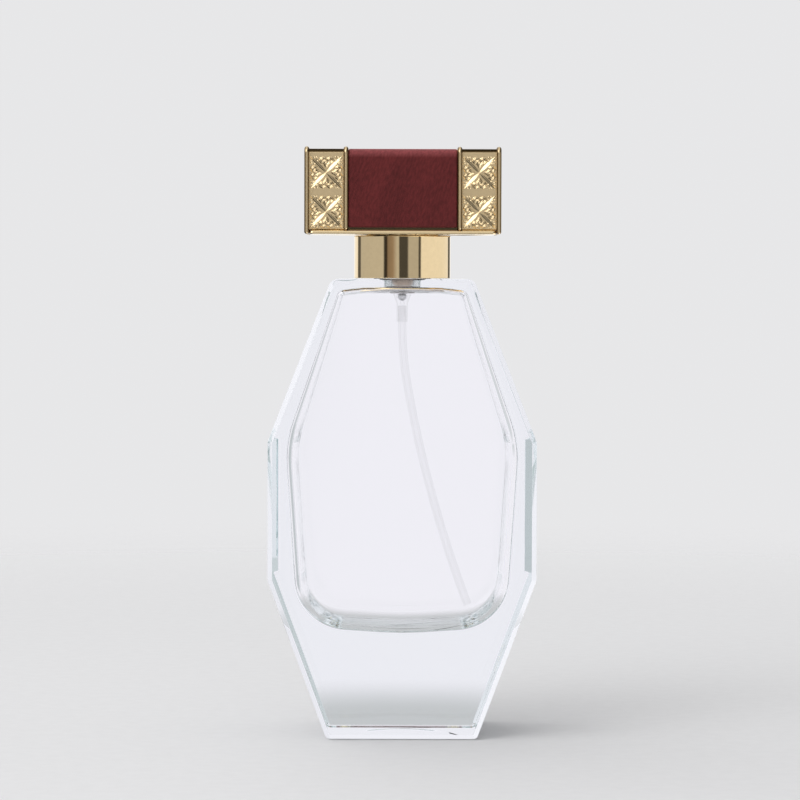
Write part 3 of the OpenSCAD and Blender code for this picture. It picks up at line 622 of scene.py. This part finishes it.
# Leather wrap: one strip of fine-grained burgundy leather glued over the front, top and back of the core, its
# upper edges soft, its ends tucked against the rims of the end blocks.
burgundy_leather, tree, shader, where = finish_of("burgundy_leather")
pebble = node(tree, "ShaderNodeTexVoronoi", {
    "Vector": where, "Scale": 2400, "Smoothness": 0.5}, feature="SMOOTH_F1")
leaning = node(tree, "ShaderNodeMapping", {
    "Vector": where, "Rotation": (0, math.radians(18), 0), "Scale": (1, 1, 3.0)}, vector_type="TEXTURE")
crease = node(tree, "ShaderNodeTexNoise", {"Vector": leaning.outputs["Vector"], "Scale": 2000, "Detail": 2})
patch = node(tree, "ShaderNodeTexNoise", {"Vector": leaning.outputs["Vector"], "Scale": 180, "Detail": 3})
dye = ramp(tree, patch.outputs["Fac"], [(0.35, (0.095, 0.0142, 0.0148)), (0.65, (0.122, 0.0181, 0.0187))])
worn = ramp(tree, crease.outputs["Fac"], [(0.36, (0.84, 0.84, 0.84)), (0.64, (1.18, 1.18, 1.18))])
# Painted highlight: the leather's upper rounding is given a lighter red, as light from above would show.
top_light_mask = node(tree, "ShaderNodeAttribute", attribute_name="painted_top_light").outputs["Fac"]
top_lit_dye = mixed(tree, top_light_mask, dye, (0.24, 0.052, 0.055, 1))
grain = worked(tree, "ADD", pebble.outputs["Distance"], crease.outputs["Fac"])
grain_bump = node(tree, "ShaderNodeBump", {"Height": grain, "Strength": 0.3, "Distance": 0.00008})
feed(tree, shader, Base_Color=mixed(tree, 1.0, top_lit_dye, worn, "MULTIPLY"), Normal=grain_bump.outputs["Normal"])
shader.inputs["Roughness"].default_value = 0.5
shader.inputs["Specular IOR Level"].default_value = 0.14
shader.inputs["Sheen Weight"].default_value = 0.2
shader.inputs["Sheen Roughness"].default_value = 0.4
shader.inputs["Sheen Tint"].default_value = (1.0, 0.45, 0.45, 1)

hide_t, soft_edge, cut_soft, end_edge = 1.2, 2.2, 0.45, 0.4
core_face, core_top, inner_soft = leather_half_d - hide_t, leather_top - hide_t, soft_edge - hide_t
wrap = Shell()
strip = soft_path([
    (-leather_half_d, leather_z, cut_soft), (-core_face, leather_z, cut_soft),
    (-core_face, core_top, inner_soft), (core_face, core_top, inner_soft),
    (core_face, leather_z, cut_soft), (leather_half_d, leather_z, cut_soft),
    (leather_half_d, leather_top, soft_edge), (-leather_half_d, leather_top, soft_edge),
])
wrap_walls, _ = wrap.slab(strip, -leather_half_w, leather_half_w, [end_edge] * len(strip), across)
wrap.band(*wrap_walls)
covering = wrap.piece("leather_strip", "cap", "burgundy_leather", burgundy_leather, "leather_wrap")
# How much painted top light each point gets: most on the upper rounding, less on the flat top, none facing
# down.
top_light_marks = []
for _, _, upwards in wrap.normals:
    on_top = 0.4 if upwards > 0.99 else 1.0
    top_light_marks.append(min(1.0, max(0.0, upwards * 1.5)) * on_top)
mark(covering.data, "painted_top_light", top_light_marks)

# End blocks: gold-plated castings pegged to the core. Each is a satin panel between two polished round rims,
# with a moulding along its upper edges. The panel's upper edges and the moulding are painted dark as shade,
# and the rims' rounded flanks as a dark reflection. The inner rim stops on the ledge, the outer one runs past
# it.
rim_t, rim_corner, rim_edge, rim_lap, foot_corner = 1.2, 1.6, 0.6, 0.2, 0.45
panel_half_d, panel_top, panel_corner, fine_edge = 12.55, 144.45, 0.6, 0.05
moulding_face, moulding_root, moulding_soft = 12.45, 12.0, 0.12
moulding_foot, moulding_top = panel_top - 0.2, panel_top + 0.4
(_, _, outer_foot), (outer_face, rim_half_d, rim_top) = box_mm("right_end_block")
inner_face, inner_foot = leather_half_w + 0.04, plate_top + 0.02
panel_near, panel_far = inner_face + rim_t - rim_lap, outer_face - rim_t + rim_lap
for side, name in ((-1, "left_end_block"), (1, "right_end_block")):
    block = Shell()
    proud, painted_dark = [], []
    for near, far, half_d, foot, top, corner, edge, stands_up in (
        (inner_face, inner_face + rim_t, rim_half_d, inner_foot, rim_top, rim_corner, rim_edge, 1.0),
        (panel_near, panel_far, panel_half_d, inner_foot, panel_top, panel_corner, fine_edge, 0.0),
        (outer_face - rim_t, outer_face, rim_half_d, outer_foot, rim_top, rim_corner, rim_edge, 1.0),
    ):
        outline = oblong(-half_d, half_d, foot, top, foot_corner, corner)
        low, high = sorted((side * near, side * far))
        block_walls, _ = block.slab(outline, low, high, [edge] * len(outline), across)
        block.band(*block_walls)
        for sideways, outwards, upwards in block.normals[len(proud):]:
            proud.append(stands_up * 0.4)
            # Painted shade on the panel's upper edges, and a painted dark reflection on the rims' rounded
            # flanks.
            shaded_top_edge = 1 - stands_up if abs(outwards) > 0.1 and upwards > 0.2 else 0.0
            dark_flank = min(1.0, max(0.0, (abs(sideways) - 0.25) * 4)) if abs(sideways) < 0.99 else 0.0
            painted_dark.append(max(shaded_top_edge, stands_up * dark_flank) * 0.92)
    for near, far in ((-moulding_face, -moulding_root), (moulding_root, moulding_face)):
        moulding = oblong(near, far, moulding_foot, moulding_top, moulding_soft, moulding_soft, fineness=4)
        low, high = sorted((side * panel_near, side * panel_far))
        moulding_walls, _ = block.slab(moulding, low, high, [fine_edge] * len(moulding), across, fineness=2)
        block.band(*moulding_walls)
        proud += [1.0] * (len(block.points) - len(proud))
        # The moulding is painted dark all over, as shade.
        painted_dark += [0.9] * (len(block.points) - len(painted_dark))
    made = block.piece("cast_" + name, "cap", "gold_casting", gold_casting, name)
    mark(made.data, "relief", proud)
    mark(made.data, "painted_shade", painted_dark)

# Ornament: the same cast square on every face of the end blocks, two in front, two behind and three on top:
# four pointed leaves with a midrib, corner to corner, and in each field a heart of two scrolls with lobes.
tile, relief, cells = 8.0, 0.32, 80
ground_sunk, back_sunk = 0.04, 0.3
square_rows, top_pitch = (129.45, 139.05), 8.02


def apart_from(x, y, spine):
    """Distance to a line of points, and how far along it the nearest place lies, counted in points."""
    nearest = np.full_like(x, 9.0)
    place = np.zeros_like(x)
    for k, ((ax, ay), (bx, by)) in enumerate(zip(spine, spine[1:])):
        dx, dy = bx - ax, by - ay
        t = np.clip(((x - ax) * dx + (y - ay) * dy) / max(dx * dx + dy * dy, 1e-9), 0, 1)
        away = np.hypot(x - ax - t * dx, y - ay - t * dy)
        place = np.where(away < nearest, k + t, place)
        nearest = np.minimum(nearest, away)
    return nearest, place


def bead(x, y, spine, widths, height):
    """Height of a round bead along a line of points, with a half width at each of them."""
    away, place = apart_from(x, y, spine)
    width = np.interp(place, range(len(widths)), widths)
    return height * np.sqrt(np.clip(1 - (away / width) ** 2, 0, 1))


def ornament_height(u, v):
    """Relief of the square over (-1..1, -1..1), the same in all four fields."""
    in_upright_field = np.abs(v) >= np.abs(u)
    x = np.abs(np.where(in_upright_field, u, v))
    y = np.abs(np.where(in_upright_field, v, u))
    along, aside = (x + y) / math.sqrt(2), (y - x) / math.sqrt(2)
    width = 0.125 * np.sin(np.pi * np.clip((along - 0.03) / 1.36, 0.001, 0.999)) ** 0.6
    groove = 0.5 * np.exp(-((np.abs(aside - 0.05) / 0.02) ** 2))
    leaf = 0.8 * np.clip(1 - aside / width, 0, 1) * (1 - groove)
    scroll_spine = [
        (0.03, 0.36), (0.09, 0.50), (0.17, 0.60), (0.30, 0.61), (0.38, 0.72),
        (0.34, 0.85), (0.22, 0.91), (0.10, 0.85), (0.08, 0.74), (0.18, 0.71),
    ]
    scroll_widths = [0.05, 0.06, 0.065, 0.07, 0.075, 0.075, 0.075, 0.07, 0.06, 0.05]
    scroll = bead(x, y, scroll_spine, scroll_widths, 0.85)
    bud = bead(x, y, [(0.0, 0.50), (0.0, 0.57), (0.0, 0.64)], [0.03, 0.05, 0.03], 0.5)
    lobe = bead(x, y, [(0.55, 0.73), (0.59, 0.84), (0.57, 0.94)], [0.04, 0.05, 0.05], 0.65)
    pearl = bead(x, y, [(0.73, 0.94), (0.73, 0.94)], [0.045, 0.045], 0.65)
    return np.maximum.reduce([leaf, scroll, bud, lobe, pearl])


def softened(height):
    """The same heights, each mixed with its four neighbours."""
    padded = np.pad(height, 1, mode="edge")
    beside = padded[1:-1, :-2] + padded[1:-1, 2:]
    return (height * 4 + padded[:-2, 1:-1] + padded[2:, 1:-1] + beside) / 8


axis = np.linspace(-1, 1, cells)
grid_u, grid_v = np.meshgrid(axis, axis)
carved = softened(ornament_height(grid_u, grid_v))
carved[0, :] = carved[-1, :] = carved[:, 0] = carved[:, -1] = 0
blurred = carved
for _ in range(10):
    blurred = softened(blurred)
# Painted shade: points sunk below their blurred surroundings, in the crevices beside the relief, are
# darkened.
recess_shade = np.clip((blurred - carved - 0.04) * 5, 0, 0.7)
square_points = [(u * tile / 2 * MM, v * tile / 2 * MM, (h * relief - ground_sunk) * MM)
                 for u, v, h in zip(grid_u.flat, grid_v.flat, carved.flat)]
square_faces = []
for j in range(cells - 1):
    for i in range(cells - 1):
        a = j * cells + i
        square_faces.append((a, a + 1, a + cells + 1, a + cells))
border = [
    *range(cells), *range(2 * cells - 1, cells * cells, cells),
    *range(cells * cells - 2, cells * (cells - 1) - 1, -1), *range(cells * (cells - 2), 0, -cells),
]
under = len(square_points)
square_points += [(square_points[i][0], square_points[i][1], -back_sunk * MM) for i in border]
for k in range(len(border)):
    m = (k + 1) % len(border)
    square_faces.append((border[m], border[k], under + k, under + m))
square_faces.append(tuple(range(len(square_points) - 1, under - 1, -1)))
square_mesh = bpy.data.meshes.new("ornament_square")
square_mesh.from_pydata(square_points, [], square_faces)
square_mesh.shade_smooth()
for trait, values in (("relief", np.clip(carved * 6, 0, 1)), ("painted_shade", recess_shade)):
    mark(square_mesh, trait, [*values.flat, *[0.0] * len(border)])
square = bpy.data.objects.new("ornament_square", square_mesh)

spots, turns = [], []
panel_x = (inner_face + outer_face) / 2
for x in (-panel_x, panel_x):
    for z in square_rows:
        spots += [(x, -panel_half_d, z), (x, panel_half_d, z)]
        turns += [(math.pi / 2, 0, 0), (math.pi / 2, 0, math.pi)]
    for y in (-top_pitch, 0.0, top_pitch):
        spots.append((x, y, panel_top))
        turns.append((0, 0, 0))
spot_mesh = bpy.data.meshes.new("ornament_squares")
spot_mesh.from_pydata([[c * MM for c in s] for s in spots], [], [])
turn_values = [c for t in turns for c in t]
spot_mesh.attributes.new("turn", "FLOAT_VECTOR", "POINT").data.foreach_set("vector", turn_values)
ornament = bpy.data.objects.new("ornament_squares", spot_mesh)
bpy.context.scene.collection.objects.link(ornament)

repeat = bpy.data.node_groups.new("ornament_on_spots", "GeometryNodeTree")
repeat.is_modifier = True
repeat.interface.new_socket("Geometry", in_out="OUTPUT", socket_type="NodeSocketGeometry")
repeat.interface.new_socket("Geometry", in_out="INPUT", socket_type="NodeSocketGeometry")
square_socket = repeat.interface.new_socket("Ornament square", in_out="INPUT", socket_type="NodeSocketObject")
finish_socket = repeat.interface.new_socket("Finish", in_out="INPUT", socket_type="NodeSocketMaterial")
given = repeat.nodes.new("NodeGroupInput")
picked = node(repeat, "GeometryNodeObjectInfo", {"Object": given.outputs["Ornament square"]})
turned = node(repeat, "GeometryNodeInputNamedAttribute", {"Name": "turn"}, data_type="FLOAT_VECTOR")
set_out = node(repeat, "GeometryNodeInstanceOnPoints", {
    "Points": given.outputs["Geometry"], "Instance": picked.outputs["Geometry"],
    "Rotation": turned.outputs["Attribute"]})
real = node(repeat, "GeometryNodeRealizeInstances", {"Geometry": set_out.outputs["Instances"]})
coated = node(repeat, "GeometryNodeSetMaterial", {
    "Geometry": real.outputs["Geometry"], "Material": given.outputs["Finish"]})
node(repeat, "NodeGroupOutput", {"Geometry": coated.outputs["Geometry"]})
spread = ornament.modifiers.new("ornament_on_spots", "NODES")
spread.node_group = repeat
spread[square_socket.identifier] = square
spread[finish_socket.identifier] = gold_casting
evaluated = ornament.evaluated_get(bpy.context.evaluated_depsgraph_get())
plain = bpy.data.meshes.new_from_object(evaluated)
ornament.modifiers.clear()
ornament.data = plain
bpy.data.objects.remove(square)
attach(ornament, "cap")

# Studio: a plain pale floor that fades into the background, and a pale room. Light comes from the upper left
# and is thrown back from the lower right, each with a brighter soft board. Upright panels with gaps stand
# round the table at eye level, and a few grey boards, which only the glass lets through, stand further out.
floor_half, floor_z = 3, -0.0002
floor_corners = [(-floor_half, -floor_half), (floor_half, -floor_half), (floor_half, floor_half),
                 (-floor_half, floor_half)]
floor_mesh = bpy.data.meshes.new("floor")
floor_mesh.from_pydata([(x, y, floor_z) for x, y in floor_corners], [], [(0, 1, 2, 3)])
floor = bpy.data.objects.new("floor", floor_mesh)
bpy.context.scene.collection.objects.link(floor)
paper, tree, shader, where = finish_of("floor_paper")
fibre = node(tree, "ShaderNodeTexNoise", {"Vector": where, "Scale": 260, "Detail": 3})
feed(tree, shader,
     Base_Color=ramp(tree, fibre.outputs["Fac"], [(0.3, (0.74, 0.74, 0.75)), (0.7, (0.76, 0.76, 0.77))]))
shader.inputs["Roughness"].default_value = 0.8
away = node(tree, "ShaderNodeVectorMath", {0: where}, operation="LENGTH").outputs["Value"]
rays = node(tree, "ShaderNodeLightPath")
fading = node(tree, "ShaderNodeMix", {
    "Factor": rays.outputs["Is Transmission Ray"], "A": graded(tree, away, 0.25, 0.7, soft=True),
    "B": graded(tree, away, 0.045, 0.12, soft=True)})
clear = node(tree, "ShaderNodeBsdfTransparent").outputs["BSDF"]
through_glass = node(tree, "ShaderNodeEmission", {"Color": (0.60, 0.605, 0.62, 1)}).outputs["Emission"]
in_metal = node(tree, "ShaderNodeMixShader", {
    0: rays.outputs["Is Glossy Ray"], 1: shader.outputs["BSDF"], 2: clear})
in_glass = node(tree, "ShaderNodeMixShader", {
    0: rays.outputs["Is Transmission Ray"], 1: in_metal.outputs["Shader"], 2: through_glass})
faded = node(tree, "ShaderNodeMixShader", {
    0: fading.outputs["Result"], 1: in_glass.outputs["Shader"], 2: clear})
tree.links.new(faded.outputs["Shader"], tree.nodes["Material Output"].inputs["Surface"])
floor_mesh.materials.append(paper)

world = bpy.data.worlds.new("studio")
bpy.context.scene.world = world
world.use_nodes = True
tree = world.node_tree
tree.nodes.clear()
view = node(tree, "ShaderNodeTexCoord").outputs["Generated"]
towards = node(tree, "ShaderNodeSeparateXYZ", {0: view})
to_front = worked(tree, "MULTIPLY", towards.outputs["Y"], -1.0)
bearing = worked(tree, "ARCTAN2", towards.outputs["X"], to_front)
panels = [
    (-180, 1.1), (-136, 1.1), (-132, 0.12), (-121, 0.12), (-117, 0.60), (-47, 0.63), (-44, 0.05), (-38, 0.05),
    (-35, 0.31), (-23, 0.40), (-12, 0.62), (-8.5, 0.55), (-7, 0.08), (12, 0.08), (15, 0.55), (38, 0.55),
    (40, 0.08), (44, 0.08), (46, 1.0), (139, 1.02), (144, 0.1), (157, 0.1), (161, 1.1), (180, 1.1),
]
rust, rust_from, rust_to = (0.9, 0.72, 0.58), -38.5, -20
panel_stops = []
for degrees, light in panels:
    hue = rust if rust_from < degrees < rust_to else (1, 1, 1)
    panel_stops.append(((degrees + 180) / 360, tuple(light * c for c in hue)))
eye_level = ramp(tree, graded(tree, bearing, -math.pi, math.pi), panel_stops)

from_corner = worked(tree, "MULTIPLY", towards.outputs["X"], towards.outputs["Z"])
room = ramp(tree, graded(tree, from_corner, -0.32, 0.32), [(at, (light, light, light)) for at, light in (
    (0.0, 1.9), (0.2, 1.5), (0.4, 1.15), (0.5, 0.95), (0.62, 0.65), (0.75, 0.34), (0.95, 0.06))])
tilt = worked(tree, "ABSOLUTE", towards.outputs["Z"])
surround = mixed(tree, graded(tree, tilt, 0.1, 0.26, 1, 0, soft=True), room, eye_level)
overhead = graded(tree, towards.outputs["Z"], 0.5, 0.85, soft=True)
surround = mixed(tree, overhead, surround, (0.8, 0.8, 0.8, 1))


def board(under, aim, inner, outer, colour):
    """A soft-edged round board that stands in one direction, with its half sizes in degrees."""
    facing = node(tree, "ShaderNodeVectorMath", {
        0: view, 1: Vector(aim).normalized()}, operation="DOT_PRODUCT").outputs["Value"]
    edge, full = math.cos(math.radians(outer)), math.cos(math.radians(inner))
    return mixed(tree, graded(tree, facing, edge, full, soft=True), under, (*colour, 1))


for aim in ((-0.57, -0.59, 0.57), (0.57, -0.59, -0.57)):
    surround = board(surround, aim, 9, 23, (3.0, 3.0, 3.0))
behind = board((0.935, 0.915, 0.97, 1), (-0.35, -0.94, 0.0), 17.5, 20.5, (0.60, 0.64, 0.65))
behind = board(behind, (0.85, 0.1, 0.45), 20, 32, (0.68, 0.70, 0.72))
behind = board(behind, (-0.95, 0.25, 0.0), 10, 30, (0.55, 0.58, 0.60))
rays = node(tree, "ShaderNodeLightPath")
room_light = node(tree, "ShaderNodeBackground", {"Color": surround})
backdrop = node(tree, "ShaderNodeBackground", {"Color": (0.80, 0.80, 0.81, 1)})
behind_glass = node(tree, "ShaderNodeBackground", {"Color": behind})
seen = node(tree, "ShaderNodeMixShader", {
    0: rays.outputs["Is Camera Ray"], 1: room_light.outputs["Background"], 2: backdrop.outputs["Background"]})
seen = node(tree, "ShaderNodeMixShader", {
    0: rays.outputs["Is Transmission Ray"], 1: seen.outputs["Shader"], 2: behind_glass.outputs["Background"]})
node(tree, "ShaderNodeOutputWorld", {"Surface": seen.outputs["Shader"]})

key = bpy.data.lights.new("upper_left_softbox", "AREA")
key.shape, key.size, key.size_y, key.energy = "RECTANGLE", 0.9, 0.9, 1.35
key_lamp = bpy.data.objects.new("upper_left_softbox", key)
key_lamp.location = (-0.55, -0.55, 0.75)
key_aim = Vector((0, 0, 0.08)) - key_lamp.location
key_lamp.rotation_euler = key_aim.to_track_quat("-Z", "Y").to_euler()
bpy.context.scene.collection.objects.link(key_lamp)

camera = bpy.data.cameras.new("camera")
camera.sensor_width = 36
camera.lens = 147.4
camera.clip_start, camera.clip_end = 0.01, 50
eye = bpy.data.objects.new("camera", camera)
eye.location = (-0.005, -0.818, 0.114)
eye.rotation_euler = (math.radians(90 - 2.191), math.radians(-0.16), math.radians(-0.31))
bpy.context.scene.collection.objects.link(eye)
bpy.context.scene.camera = eye
bpy.context.scene.view_settings.view_transform = "Standard"
bpy.context.scene.cycles.max_bounces = 32
bpy.context.scene.cycles.glossy_bounces = 24
bpy.context.scene.cycles.transmission_bounces = 24
